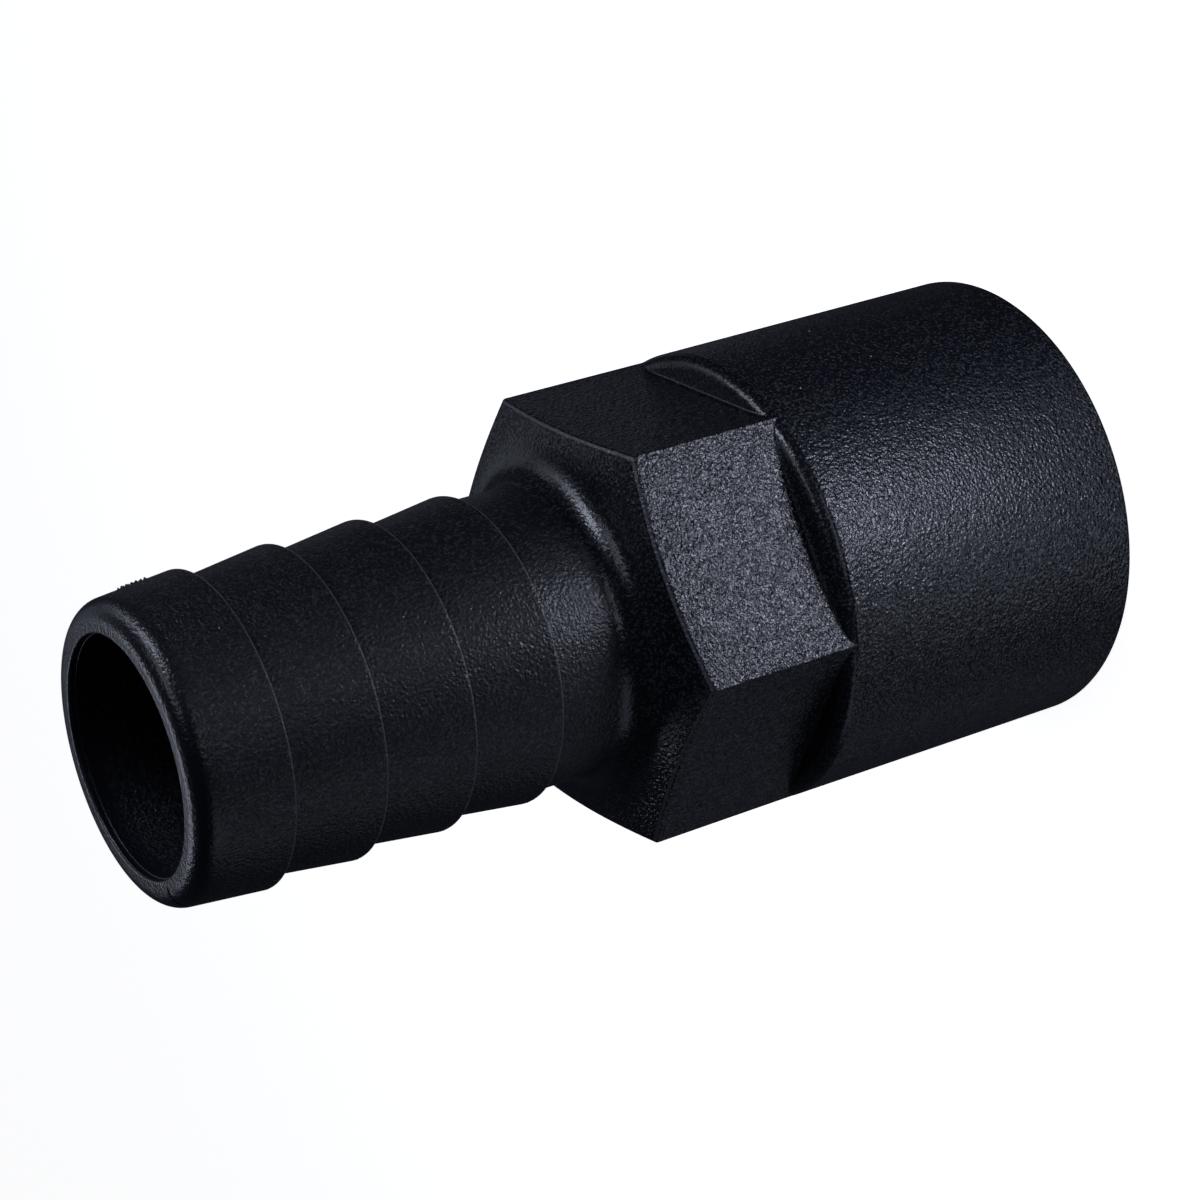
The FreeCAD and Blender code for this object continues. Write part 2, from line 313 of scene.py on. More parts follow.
def shoulder_bends(sizes, barrel, shoulder, reach, count, root_count):
    """The shoulder as far as the hexagon. First the barrel's rounding and the wall behind it, at
    even steps of length, as far as the hollow corner's circle; then that circle. The circle
    touches the flat, and either the wall or, near the hexagon's edges, the rounding."""
    inwards = shoulder * (0, 1)
    bend = sizes.shoulder_rounding
    centre = fillet_centre(barrel, shoulder, inwards, bend)
    start = arc(centre, centre + (bend, 0), centre + (0, bend), 2)[0]
    hollow = sizes.hexagon_root
    middle_radius = reach + hollow
    on_wall = middle_radius <= centre[:, 0]
    over = np.maximum((bend + hollow) ** 2 - (middle_radius - centre[:, 0]) ** 2, 0)
    middle_height = np.where(on_wall, shoulder[:, 1] + hollow, centre[:, 1] + np.sqrt(over))
    middle = np.stack((middle_radius, middle_height), axis=-1)
    on_rounding = centre + (middle - centre) * bend / (bend + hollow)
    touch = np.where(on_wall[:, None], middle - (0, hollow), on_rounding)
    top = np.where(on_wall[:, None], centre + (0, bend), touch)
    turned = np.arctan2(top[:, 1] - centre[:, 1], top[:, 0] - centre[:, 0])
    curved = turned * bend
    straight = np.linalg.norm(touch - top, axis=-1)
    travel = np.linspace(0, 1, count)[:, None] * (curved + straight)
    bent = np.minimum(travel, curved) / bend
    along = np.maximum(travel - curved, 0)
    outer = centre + bend * np.stack((np.cos(bent), np.sin(bent)), axis=-1)
    outer[..., 0] -= along
    outer[0] = start
    return outer, arc(middle, touch, middle - (hollow, 0), root_count)


def moulding_outline(sizes, turns):
    """Closed section of the moulding at every azimuth, as (rows, columns, radius and height). It
    starts on the end face, goes up the outside and comes back down the bore. Each corner is an
    arc, whose last argument is its count of rows, and straight runs join the arcs, whose counts
    of rows are in `runs`. Also gives the first and the last row that are outside."""
    reach = hexagon_reach(turns, sizes.hexagon_inradius, sizes.hexagon_corner)

    def at(radius, height):
        return np.stack((radius + 0 * turns, height + 0 * turns), axis=-1)

    slope = math.tan(sizes.hexagon_slope)
    face_edge = sizes.socket_length + sizes.hexagon_length
    neck = sizes.ridge_radius - sizes.neck_fall
    root = sizes.ridge_radius - sizes.barb_height
    face_top = face_edge + (sizes.hexagon_inradius - neck) * slope
    last_ridge = sizes.length - sizes.nose_length
    first_ridge = last_ridge - sizes.barb_count * sizes.barb_pitch
    fall = sizes.socket_length * math.tan(sizes.socket_draft)
    entry = sizes.bore_radius + sizes.bore_chamfer
    mouth_radius = sizes.flow_radius + sizes.mouth_step
    mouth_foot = sizes.length - sizes.mouth_depth
    crisp = 0.08 * MM
    crispest = 0.025 * MM
    floor_edge_rounding = 0.15 * MM
    floor_corner_rounding = 0.3 * MM

    entry_edge = at(entry, 0)
    end = at(sizes.socket_radius, 0)
    shoulder = at(sizes.socket_radius - fall, sizes.socket_length)
    front = np.stack((reach, face_edge - (reach - sizes.hexagon_inradius) * slope), axis=-1)
    neck_foot = at(neck, face_top)

    bends = [fillet(at(sizes.bore_radius, sizes.bore_chamfer), entry_edge, end, crisp, 3)]
    runs = [3]
    first_outside = len(bends[0]) + runs[0]
    bends.append(fillet(entry_edge, end, shoulder, sizes.end_rounding, 7))
    runs.append(6)
    outer, hollow = shoulder_bends(sizes, end, shoulder, reach, 22, 7)
    bends.append(np.concatenate((outer, hollow[1:])))
    runs.append(8)
    bends.append(fillet(hollow[-1], front, neck_foot, sizes.hexagon_front, 9))
    runs.append(8)
    first_foot = at(neck, first_ridge)
    bends.append(fillet(front, neck_foot, first_foot, sizes.neck_rounding, 20))
    runs.append(4)

    foot_radius = neck
    for barb in range(sizes.barb_count + 1):
        height = last_ridge - (sizes.barb_count - barb) * sizes.barb_pitch
        foot = at(foot_radius, height)
        ridge = at(sizes.ridge_radius, height)
        land = at(sizes.ridge_radius, height + sizes.ridge_land)
        tip = at(root, height + sizes.barb_pitch)
        if barb == sizes.barb_count:
            tip = at(sizes.ridge_radius - sizes.nose_fall, sizes.length)
        before = bends[-1][-1]
        bends.append(fillet(before, foot, ridge, crisp, 3))
        runs.append(2)
        bends.append(fillet(foot, ridge, land, sizes.ridge_rounding, 4))
        runs.append(2)
        bends.append(fillet(ridge, land, tip, crisp, 2))
        runs.append(4)
        foot_radius = root

    mouth = at(mouth_radius, sizes.length)
    bends.append(fillet(land, tip, mouth, sizes.nose_rounding, 20))
    last_outside = sum(len(bend) for bend in bends) + sum(runs)
    runs.append(3)
    step_foot = at(mouth_radius, mouth_foot)
    step_edge = at(sizes.flow_radius, mouth_foot)
    floor_edge = at(sizes.flow_radius, sizes.bore_depth)
    floor_corner = at(sizes.bore_radius, sizes.bore_depth)
    entry_corner = at(sizes.bore_radius, sizes.bore_chamfer)
    bends.append(fillet(tip, mouth, step_foot, sizes.mouth_rounding, 6))
    runs.append(3)
    bends.append(fillet(mouth, step_foot, step_edge, crispest, 3))
    runs.append(2)
    bends.append(fillet(step_foot, step_edge, floor_edge, crispest, 3))
    runs.append(6)
    bends.append(fillet(step_edge, floor_edge, floor_corner, floor_edge_rounding, 4))
    runs.append(3)
    bends.append(fillet(floor_edge, floor_corner, entry_corner, floor_corner_rounding, 4))
    runs.append(4)
    bends.append(fillet(floor_corner, entry_corner, entry_edge, crisp, 3))
    runs.append(2)

    rows = []
    for index, bend in enumerate(bends):
        follower = bends[(index + 1) % len(bends)]
        rows.append(bend)
        rows.append(run(bend[-1], follower[0], runs[index]))
    return np.concatenate(rows), first_outside, last_outside


def step(values, start, width):
    """Smooth step from 0 to 1: three times the square of the share less twice its cube."""
    share = np.clip((values - start) / width, 0, 1)
    return share * share * (3 - 2 * share)


def bell(across, width):
    """Bell curve: it falls with the square of the distance."""
    return np.exp(-(across / width) ** 2)


def wave(place, height, pace, start):
    """Sine wave: its height times the sine of its pace times the place, plus its start."""
    return height * np.sin(pace * place + start)


def beside(radius, turns, azimuth):
    """Distance round the surface from an azimuth: the radius times the angle between them."""
    return radius * ((turns - azimuth + np.pi) % (2 * np.pi) - np.pi)


def mould_marks(marks, sizes, outline, turns, first, last):
    """Distance by which the surface stands out. The parting line is a bell curve across each
    azimuth where the mould parts, from just above the open end to the rounding of the nose. The
    nick is a narrower bell that goes in, with a lip beside it, over the mouth's edge at -Y. It
    winds by a sine of the distance from the axis."""
    wander_pace = 0.25 * MM
    lip_setback = 2.2 * marks.nick_width
    radius = outline[..., 0]
    height = outline[..., 1]
    row = np.arange(len(outline))[:, None]
    outside = (row >= first) & (row <= last)
    fade = marks.parting_fade
    nose_start = sizes.length - sizes.nose_rounding - fade
    along_line = step(height, sizes.end_rounding, fade) * (1 - step(height, nose_start, fade))
    out = np.zeros(radius.shape)
    for azimuth in PARTING:
        line = bell(beside(radius, turns, azimuth), marks.parting_width)
        out += marks.parting_height * line * along_line
    at_mouth = np.exp(-((sizes.length - height) / marks.nick_reach) ** 4)
    wander = marks.nick_wander * np.sin(radius / wander_pace)
    off_crack = beside(radius, turns, PARTING[1]) - wander
    lip = marks.nick_lip * bell(off_crack + lip_setback, marks.nick_width)
    out += at_mouth * (lip - marks.nick_depth * bell(off_crack, marks.nick_width))
    return np.where(outside, out, 0)


def grid_mesh(name, points, close_rows):
    """Mesh of four-sided faces on a grid of points that closes on itself along its columns, and
    along its rows too if asked. Without that the first and the last row are capped."""
    rows, columns = points.shape[:2]
    index = np.arange(rows * columns).reshape(rows, columns)
    right = np.roll(index, -1, axis=1)
    up = np.roll(index, -1, axis=0)
    corner = np.roll(right, -1, axis=0)
    faces = np.stack((index, right, corner, up), axis=-1)
    if not close_rows:
        faces = faces[:-1]
    faces = faces.reshape(-1, 4).tolist()
    if not close_rows:
        faces.append(index[0, ::-1].tolist())
        faces.append(index[-1].tolist())
    mesh = bpy.data.meshes.new(name)
    mesh.from_pydata(points.reshape(-1, 3).tolist(), [], faces)
    mesh.polygons.foreach_set("use_smooth", np.ones(len(mesh.polygons), bool))
    mesh.update()
    return mesh


def turned_points(outline, turns):
    """Points of a section at each azimuth: x and y are its radius times cosine and sine."""
    x = outline[..., 0] * np.cos(turns)
    y = outline[..., 0] * np.sin(turns)
    return np.stack((x, y, outline[..., 1]), axis=-1)


def moulding_points(sizes, marks):
    """The moulding's grid: its outline, moved along its own normal by the mould's marks. The
    normal is the outline's direction, from central differences, turned by a right angle."""
    turns = moulding_turns()
    outline, first, last = moulding_outline(sizes, turns)
    along = np.roll(outline, -1, axis=0) - np.roll(outline, 1, axis=0)
    normal = unit(np.stack((along[..., 1], -along[..., 0]), axis=-1))
    out = mould_marks(marks, sizes, outline, turns, first, last)
    return turned_points(outline + normal * out[..., None], turns)


def thread_profile(thread):
    """Rise of the thread above its bottom against the distance from its middle: an arc at the
    crest, a straight flank and an arc at the root. Both arcs have 0.1373 of the pitch as radius
    and the rise is 0.6403 of the pitch, as in every 55 degree pipe thread."""
    arc_count = 5
    flank_count = 4
    half = thread.pitch / 2
    bend = 0.1373 * thread.pitch
    crest_rise = 0.6403 * thread.pitch
    crest_end = bend * math.cos(thread.flank)
    root_end = half - crest_end
    crest = bend * np.sin(np.linspace(0, 0.5 * np.pi - thread.flank, arc_count))
    root = half - bend * np.sin(np.linspace(0.5 * np.pi - thread.flank, 0, arc_count))
    flank = np.linspace(crest_end, root_end, flank_count)[1:-1]
    away = np.concatenate((crest, flank, root))
    on_crest = crest_rise - bend + np.sqrt(np.maximum(bend ** 2 - away ** 2, 0))
    on_root = bend - np.sqrt(np.maximum(bend ** 2 - (half - away) ** 2, 0))
    crest_foot = crest_rise - bend + bend * math.sin(thread.flank)
    on_flank = crest_foot - (away - crest_end) / math.tan(thread.flank)
    up = np.where(away <= crest_end, on_crest, np.where(away >= root_end, on_root, on_flank))
    return np.concatenate((-away[:0:-1], away)), np.concatenate((up[:0:-1], up))


def thread_points(thread, sizes):
    """The thread carried along a right-hand helix. Its profile stands inwards from the bore, with
    its roots just sunk in the wall and a narrower back that is sunk deeper. Towards both ends it
    shrinks to a share of its width and sinks into the wall, by a smooth step."""
    steps_per_turn = 120
    root_sink = 0.012 * MM
    end_sink = 0.03 * MM
    end_width = 0.35
    back_width = 0.9
    offsets, rises = thread_profile(thread)
    turns_count = (thread.finish - thread.start) / thread.pitch
    steps = int(turns_count * steps_per_turn)
    turned = np.linspace(0, turns_count, steps)[:, None]
    ease = step(np.minimum(turned, turns_count - turned), 0, thread.fade)
    front = rises[None, :] * ease - root_sink - end_sink * (1 - ease)
    back = np.full((steps, 2), -thread.sink)
    inwards = np.concatenate((front, back), axis=1)
    back_offsets = np.array([offsets[-1], offsets[0]]) * back_width
    width = end_width + (1 - end_width) * ease
    across = np.concatenate((offsets, back_offsets))[None, :] * width
    radius = sizes.bore_radius - inwards
    height = thread.start + turned * thread.pitch + across
    azimuth = turned * 2 * np.pi
    return np.stack((radius * np.cos(azimuth), radius * np.sin(azimuth), height), axis=-1)


def flash_points(marks, sizes):
    """Patch of flash on the nose: a low bank along the parting line. Its height is a sum of waves
    that never repeat over its length, its width and its path are waves too, it is faded out at
    both ends, and its foot is sunk in the nose."""
    rows = 90
    columns = 16
    ends = 0.12
    least_fade = 0.02
    mean_height = 0.55
    least_height = 0.12
    mean_width = 0.8
    foot_sink = 0.08 * MM
    along = np.linspace(-0.5, 0.5, rows)[:, None]
    around = np.linspace(2 * np.pi, 0, columns, endpoint=False)[None, :]
    fade = np.clip((0.5 - np.abs(along)) / ends, least_fade, 1)
    lumps = mean_height + wave(along, 0.28, 47.0, 1.0) + wave(along, 0.22, 83.0, 0.4)
    lumps = lumps + wave(along, 0.2, 29.0, 3 * around)
    up = marks.flash_height * np.clip(lumps, least_height, 1) * fade
    swell = marks.flash_width * fade * (mean_width + wave(along, 0.3, 61.0, 2.0))
    sideways = swell * np.cos(around) + wave(along, 0.05 * MM, 38.0, 0.0)
    out = np.where(np.sin(around) > 0, up * np.sin(around), foot_sink * np.sin(around))
    height = sizes.length - marks.flash_setback + along * marks.flash_length
    taper = sizes.nose_fall / sizes.nose_length
    surface = sizes.ridge_radius - (height - sizes.length + sizes.nose_length) * taper
    radius = surface + out
    azimuth = PARTING[0] + sideways / surface
    height = height + 0 * azimuth
    return np.stack((radius * np.cos(azimuth), radius * np.sin(azimuth), height), axis=-1)


# Materials


def add_node(tree, kind, inputs=None, **values):
    """Shader node with its values set. An input is a number, a colour or another node's output."""
    node = tree.nodes.new(kind)
    for key, value in values.items():
        setattr(node, key, value)
    for key, value in (inputs or {}).items():
        if isinstance(value, bpy.types.NodeSocket):
            tree.links.new(value, node.inputs[key])
        else:
            node.inputs[key].default_value = value
    return node


def blend_colours(tree, share, first, second):
    """Colour that goes from the first to the second as the share goes from 0 to 1."""
    node = add_node(tree, "ShaderNodeMix", {"Factor": share}, data_type="RGBA")
    for key, value in ((6, first), (7, second)):
        if isinstance(value, bpy.types.NodeSocket):
            tree.links.new(value, node.inputs[key])
        else:
            node.inputs[key].default_value = (*value, 1.0)
    return node.outputs[2]


def ramp(tree, value, low, high, out_low, out_high):
    """Value mapped evenly from one range to another and held at its ends."""
    node = add_node(tree, "ShaderNodeMapRange", {
        "Value": value, "From Min": low, "From Max": high, "To Min": out_low, "To Max": out_high})
    return node.outputs["Result"]


def arithmetic(tree, operation, first, second):
    """One sum on two values."""
    return add_node(tree, "ShaderNodeMath", {0: first, 1: second}, operation=operation).outputs[0]


def rise(tree, value, start, width):
    """Share that goes evenly from 0 to 1 as the value goes up from the start by the width."""
    return ramp(tree, value, start, start + width, 0.0, 1.0)


def blend_numbers(tree, share, first, second):
    """Number that goes from the first to the second as the share goes from 0 to 1."""
    return add_node(tree, "ShaderNodeMix", {0: share, 2: first, 3: second}).outputs[0]


def noise(tree, place, width):
    """Cloudy noise from 0 to 1, whose clouds are about as wide as given."""
    node = add_node(tree, "ShaderNodeTexNoise", {
        "Vector": place, "Scale": 1 / width, "Detail": 1.0, "Roughness": 0.5})
    return node.outputs[0]


def along_axis(tree, vector):
    """The part of a vector that lies along the axis."""
    return add_node(tree, "ShaderNodeSeparateXYZ", {"Vector": vector}).outputs["Z"]


def across_axis(tree, vector):
    """The length of the part of a vector that lies square to the axis."""
    flat = add_node(tree, "ShaderNodeVectorMath", {0: vector, 1: (1.0, 1.0, 0.0)},
                    operation="MULTIPLY").outputs[0]
    return add_node(tree, "ShaderNodeVectorMath", {0: flat}, operation="LENGTH").outputs["Value"]


class Zones(NamedTuple):
    """Zones above the socket's barrel, from below. Each is the share, from 0 to 1, by which it
    has taken over from the zones below it."""

    shoulder: bpy.types.NodeSocket
    hexagon: bpy.types.NodeSocket
    hollow: bpy.types.NodeSocket
    tail: bpy.types.NodeSocket
    mouth: bpy.types.NodeSocket


def zone_shares(tree, sizes, height, lean):
    """The zones, each of which takes over within a short height. The shoulder is also held to
    surfaces that lean upwards, because the flats' corners reach down beside it."""
    short_fade = 0.2 * MM
    hollow_fade = 0.5 * MM
    hollow_height = 2.9 * MM
    tail_fade = 0.7 * MM
    mouth_reach = 1.5 * sizes.nose_rounding
    mouth_fade = 0.9 * sizes.nose_rounding
    least_lean = 0.1
    lean_fade = 0.2
    face_edge = sizes.socket_length + sizes.hexagon_length
    shoulder_start = sizes.socket_length - sizes.shoulder_rounding
    hexagon_start = sizes.socket_length + sizes.hexagon_root - short_fade / 2
    tail_start = face_edge + hollow_height - tail_fade
    shoulder = rise(tree, height, shoulder_start, short_fade)
    leaning = rise(tree, lean, least_lean, lean_fade)
    return Zones(
        shoulder=arithmetic(tree, "MULTIPLY", shoulder, leaning),
        hexagon=rise(tree, height, hexagon_start, short_fade),
        hollow=rise(tree, height, face_edge, hollow_fade),
        tail=rise(tree, height, tail_start, tail_fade),
        mouth=rise(tree, height, sizes.length - mouth_reach, mouth_fade))


def by_zone(tree, zones, values):
    """Value that changes from zone to zone up the part. The first value is the barrel's, and the
    others are those of the zones in their order."""
    value = values[0]
    for share, next_value in zip(zones, values[1:]):
        value = blend_numbers(tree, share, value, next_value)
    return value


def grain_bump(tree, look, zones, place):
    """Relief of the grain: a noise times the depth that the pits have in each zone, and under it
    a slow unevenness, a wider noise times its own height."""
    depth = by_zone(tree, zones, (
        look.pit_depth, look.fillet_pit_depth, look.pit_depth, look.fillet_pit_depth,
        look.tail_pit_depth, look.mouth_pit_depth))
    pits = arithmetic(tree, "MULTIPLY", noise(tree, place, look.pit), depth)
    ripples = arithmetic(tree, "MULTIPLY", noise(tree, place, look.ripple), look.ripple_depth)
    relief = arithmetic(tree, "ADD", pits, ripples)
    bump = add_node(tree, "ShaderNodeBump", {"Height": relief, "Distance": 1.0, "Strength": 1.0})
    return bump.outputs["Normal"]


def winding_lines(tree, look, place):
    """Share of the winding lines: they run where one noise is near its middle value, and show
    only where a second noise is high."""
    middle = 0.5
    full_width = 0.5 * look.line
    faded_width = 1.2 * look.line
    show_fade = 0.08
    off_middle = arithmetic(tree, "SUBTRACT", noise(tree, place, look.fibre), middle)
    off_line = arithmetic(tree, "ABSOLUTE", off_middle, 0.0)
    line = ramp(tree, off_line, full_width, faded_width, 1.0, 0.0)
    shown = rise(tree, noise(tree, place, look.spot), look.shown, show_fade)
    return arithmetic(tree, "MULTIPLY", line, shown)


def painted_edge_highlights(tree, sizes, height, radius, tail):
    """1 where a highlight is painted on an edge and 0 elsewhere. On the tail these are the ridges'
    flattened tops, which come back at each pitch. On the hexagon they are a thin line along the
    front of the flats, just below the cone of the front face, whose height falls by its slope times
    the radius. The painted highlight stands for the light that the rounded edges catch."""
    below_ridge = 0.06 * MM
    inside_ridge = 0.08 * MM
    line_depth = 0.06 * MM
    half_line = 0.05 * MM
    first_ridge = sizes.length - sizes.nose_length - sizes.barb_count * sizes.barb_pitch
    above = arithmetic(tree, "SUBTRACT", height, first_ridge - below_ridge)
    over_ridge = arithmetic(tree, "MODULO", above, sizes.barb_pitch)
    on_land = arithmetic(tree, "LESS_THAN", over_ridge, sizes.ridge_land)
    at_ridge = arithmetic(tree, "GREATER_THAN", radius, sizes.ridge_radius - inside_ridge)
    land = arithmetic(tree, "MULTIPLY", on_land, arithmetic(tree, "MULTIPLY", at_ridge, tail))
    slope = math.tan(sizes.hexagon_slope)
    tip = sizes.socket_length + sizes.hexagon_length + sizes.hexagon_inradius * slope
    cone_fall = arithmetic(tree, "MULTIPLY", radius, slope)
    below_cone = arithmetic(tree, "SUBTRACT", tip, arithmetic(tree, "ADD", height, cone_fall))
    on_line = arithmetic(tree, "COMPARE", below_cone, line_depth)
    on_line.node.inputs[2].default_value = half_line
    at_flat = arithmetic(tree, "GREATER_THAN", radius,
                         sizes.hexagon_inradius - sizes.hexagon_front)
    front = arithmetic(tree, "MULTIPLY", on_line, at_flat)
    return arithmetic(tree, "MAXIMUM", land, front)


def dust_specks(tree, place):
    """Share of the dust. Scattered points each have a cell round them, and a speck lies round the
    point in the cells whose chance colour is high enough. Its sizes are shares of the cell's."""
    cell = 2.6 * MM
    speck_radius = 0.012
    faded_radius = 0.028
    bare_cells = 0.4
    cells = add_node(tree, "ShaderNodeTexVoronoi", {
        "Vector": place, "Scale": 1 / cell, "Randomness": 1.0})
    speck = ramp(tree, cells.outputs["Distance"], speck_radius, faded_radius, 1.0, 0.0)
    chance = add_node(tree, "ShaderNodeSeparateColor", {"Color": cells.outputs["Color"]})
    chosen = arithmetic(tree, "GREATER_THAN", chance.outputs[0], bare_cells)
    return arithmetic(tree, "MULTIPLY", speck, chosen)


def plastic_material(look, sizes):
    """Black glass-filled plastic. The mould was spark-eroded, so pits stand on a slow unevenness:
    deep on the hexagon and the socket, less deep on the tail, and nearly polished away on the
    shoulder, on the hollow fillet and round the mouth. Winding lines are shinier than the rest and
    a little paler, partly as the tone of glass fibres near the surface and partly as a painted
    glint. A painted highlight lies on the ridges' tops and along the flats' front edges, and a few
    specks of dust lie on it."""
    material = bpy.data.materials.new("black_glass_filled_plastic")
    material.use_nodes = True
    tree = material.node_tree
    tree.nodes.clear()
    coordinates = add_node(tree, "ShaderNodeTexCoord")
    place = coordinates.outputs["Object"]
    height = along_axis(tree, place)
    radius = across_axis(tree, place)
    lean = along_axis(tree, coordinates.outputs["Normal"])
    zones = zone_shares(tree, sizes, height, lean)
    winding = winding_lines(tree, look, place)
    edge_highlight_share = painted_edge_highlights(tree, sizes, height, radius, zones.tail)

    # Painted glint, partly the fibres' tone: the winding lines are lightened in the base colour,
    # except round the mouth.
    fibre_and_glint_share = by_zone(tree, zones, (
        look.fibre_and_glint_share, look.tail_fibre_and_glint_share, look.fibre_and_glint_share, look.tail_fibre_and_glint_share,
        look.tail_fibre_and_glint_share, 0.0))
    fibre_and_glint_tone = arithmetic(tree, "MULTIPLY", winding, fibre_and_glint_share)
    body = blend_colours(tree, fibre_and_glint_tone, look.base, look.fibre_and_glint_tone)
    # Painted highlight on the ridges' tops and along the flats' front edges.
    body = blend_colours(tree, edge_highlight_share, body, look.edge_highlight_paint)
    body = blend_colours(tree, dust_specks(tree, place), body, look.speck)
    dull = by_zone(tree, zones, (
        look.roughness, look.fillet_roughness, look.roughness, look.fillet_roughness,
        look.tail_roughness, look.mouth_roughness))
    bright = by_zone(tree, zones, (
        look.line_roughness, look.fillet_roughness, look.line_roughness, look.fillet_roughness,
        look.tail_line_roughness, look.mouth_roughness))
    roughness = blend_numbers(tree, winding, dull, bright)
    roughness = blend_numbers(tree, edge_highlight_share, roughness, look.highlit_edge_roughness)
    shader = add_node(tree, "ShaderNodeBsdfPrincipled", {
        "Base Color": body, "Roughness": roughness, "IOR": look.refraction,
        "Normal": grain_bump(tree, look, zones, place)})
    add_node(tree, "ShaderNodeOutputMaterial", {"Surface": shader.outputs[0]})
    return material


def floor_material(tint):
    """Pale floor that mostly glows, so that the picture's ground is even, and takes a faint
    shadow."""
    material = bpy.data.materials.new("pale_floor")
    material.use_nodes = True
    tree = material.node_tree
    tree.nodes.clear()
    matt = add_node(tree, "ShaderNodeBsdfDiffuse", {"Color": (*tint, 1.0)})
    glow = add_node(tree, "ShaderNodeEmission", {"Color": (*tint, 1.0), "Strength": 1.0})
    both = add_node(tree, "ShaderNodeAddShader", {0: matt.outputs[0], 1: glow.outputs[0]})
    add_node(tree, "ShaderNodeOutputMaterial", {"Surface": both.outputs[0]})
    return material


# Pieces


def add_piece(name, mesh, material):
    """Object at the origin that rides on the part's body and takes the plastic's slot."""
    mesh.materials.append(material)
    piece = bpy.data.objects.new(name, mesh)
    bpy.context.scene.collection.objects.link(piece)
    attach(piece, BODY)
    return piece


def plastic():
    """The plastic, made once."""
    made = bpy.data.materials.get("black_glass_filled_plastic")
    return made or plastic_material(settings().look, settings().moulding)


class ADAPTER_OT_moulding(bpy.types.Operator):
    """Add the moulding: socket, hexagon and barbed tail with their roundings and mould marks."""

    bl_idname = "adapter.moulding"
    bl_label = "Moulding"

    def execute(self, context):
        groups = settings()
        points = moulding_points(groups.moulding, groups.marks)
        piece = add_piece("adapter_moulding", grid_mesh("moulding", points, True), plastic())
        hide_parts(NODE)
        return {"FINISHED"}


class ADAPTER_OT_thread(bpy.types.Operator):
    """Add the pipe thread in the socket."""

    bl_idname = "adapter.thread"
    bl_label = "Socket thread"

    def execute(self, context):
        groups = settings()
        points = thread_points(groups.thread, groups.moulding)
        add_piece("socket_thread", grid_mesh("thread", points, False), plastic())
        return {"FINISHED"}


class ADAPTER_OT_flash(bpy.types.Operator):
    """Add the patch of flash that the mould left on the nose."""

    bl_idname = "adapter.flash"
    bl_label = "Nose flash"

    def execute(self, context):
        groups = settings()
        points = flash_points(groups.marks, groups.moulding)
        add_piece("nose_flash", grid_mesh("flash", points, False), plastic())
        return {"FINISHED"}


# Stage


def direction(azimuth, elevation):
    """Unit vector: azimuth is the turn from +X towards +Y, elevation the angle above the floor."""
    flat = math.cos(elevation)
    return Vector((math.cos(azimuth) * flat, math.sin(azimuth) * flat, math.sin(elevation)))


def aim(place, back, up):
    """Matrix of a camera or a lamp that looks against `back`, with `up` at the top."""
    right = up.cross(back).normalized()
    top = back.cross(right).normalized()
    turn = Matrix((right, top, back)).transposed().to_4x4()
    return Matrix.Translation(place) @ turn


class Softbox(NamedTuple):
    """Rectangular lamp that faces the part: its direction from the middle of the part in degrees,
    its distance and size in metres, and its radiance in watts per steradian and square metre."""

    name: str
    azimuth: float
    elevation: float
    distance: float
    width: float
    height: float
    radiance: float


SOFTBOXES = (
    Softbox("flat_box", 3, -31, 0.058, 0.024, 0.006, 11.4),
    Softbox("front_box", 3, -27, 0.058, 0.024, 0.005, 10.5),
    Softbox("barrel_strip", 0, -42, 0.070, 0.070, 0.014, 1.1),
    Softbox("wide_strip", -8, -42, 0.600, 1.300, 0.150, 0.3),
    Softbox("low_left_box", -40, -38, 0.113, 0.050, 0.025, 1.25),
    Softbox("rounding_box", 90, 36, 0.120, 0.055, 0.018, 4.2),
    Softbox("nose_box", 65, 38, 0.120, 0.045, 0.022, 9.0),
    Softbox("shoulder_box", 50, 60, 0.120, 0.060, 0.020, 2.2),
    Softbox("edge_box", 118, 28, 0.150, 0.060, 0.060, 0.6),
    Softbox("mouth_card", 180, 57, 0.096, 0.050, 0.024, 3.0),
    Softbox("mouth_box", 155, 20, 0.600, 0.300, 0.250, 0.3),
    Softbox("barb_box", 0, 5, 0.300, 0.200, 0.060, 1.5),
    Softbox("right_fill", 38, -20, 0.200, 0.100, 0.060, 0.4),
    Softbox("left_fill", -75, -5, 0.600, 0.500, 0.300, 0.42),
    Softbox("back_fill", -115, -32, 0.600, 0.300, 0.200, 0.15),
    Softbox("far_fill", 142, -25, 0.600, 0.300, 0.200, 0.08),
)


def add_softbox(box, tint):
    """Lamp for a softbox. Its power is its radiance times its area times pi."""
    lamp = bpy.data.lights.new(box.name, "AREA")
    lamp.shape = "RECTANGLE"
    lamp.size = box.width
    lamp.size_y = box.height
    lamp.energy = box.radiance * box.width * box.height * math.pi
    lamp.color = tint
    holder = bpy.data.objects.new(box.name, lamp)
    bpy.context.scene.collection.objects.link(holder)
    back = direction(math.radians(box.azimuth), math.radians(box.elevation))
    middle = (CAD_LOW + CAD_HIGH) / 2
    holder.matrix_world = aim(middle + back * box.distance, back, Vector((0, 0, 1)))
    holder.visible_camera = False


def add_floor(stage):
    """Round floor under the part. It is seen, but casts nothing and isn't mirrored in the part,
    because some of the lamps shine from below it."""
    count = 96
    turns = np.linspace(0, 2 * np.pi, count, endpoint=False)
    ring = np.stack((np.cos(turns), np.sin(turns), 0 * turns), axis=-1) * stage.floor_radius
    mesh = bpy.data.meshes.new("floor")
    mesh.from_pydata(ring.tolist(), [], [list(range(count))])
    mesh.materials.append(floor_material(stage.floor_colour))
    floor = bpy.data.objects.new("pale_floor", mesh)
    bpy.context.scene.collection.objects.link(floor)
    floor.visible_shadow = False
    floor.visible_glossy = False
    floor.visible_diffuse = False


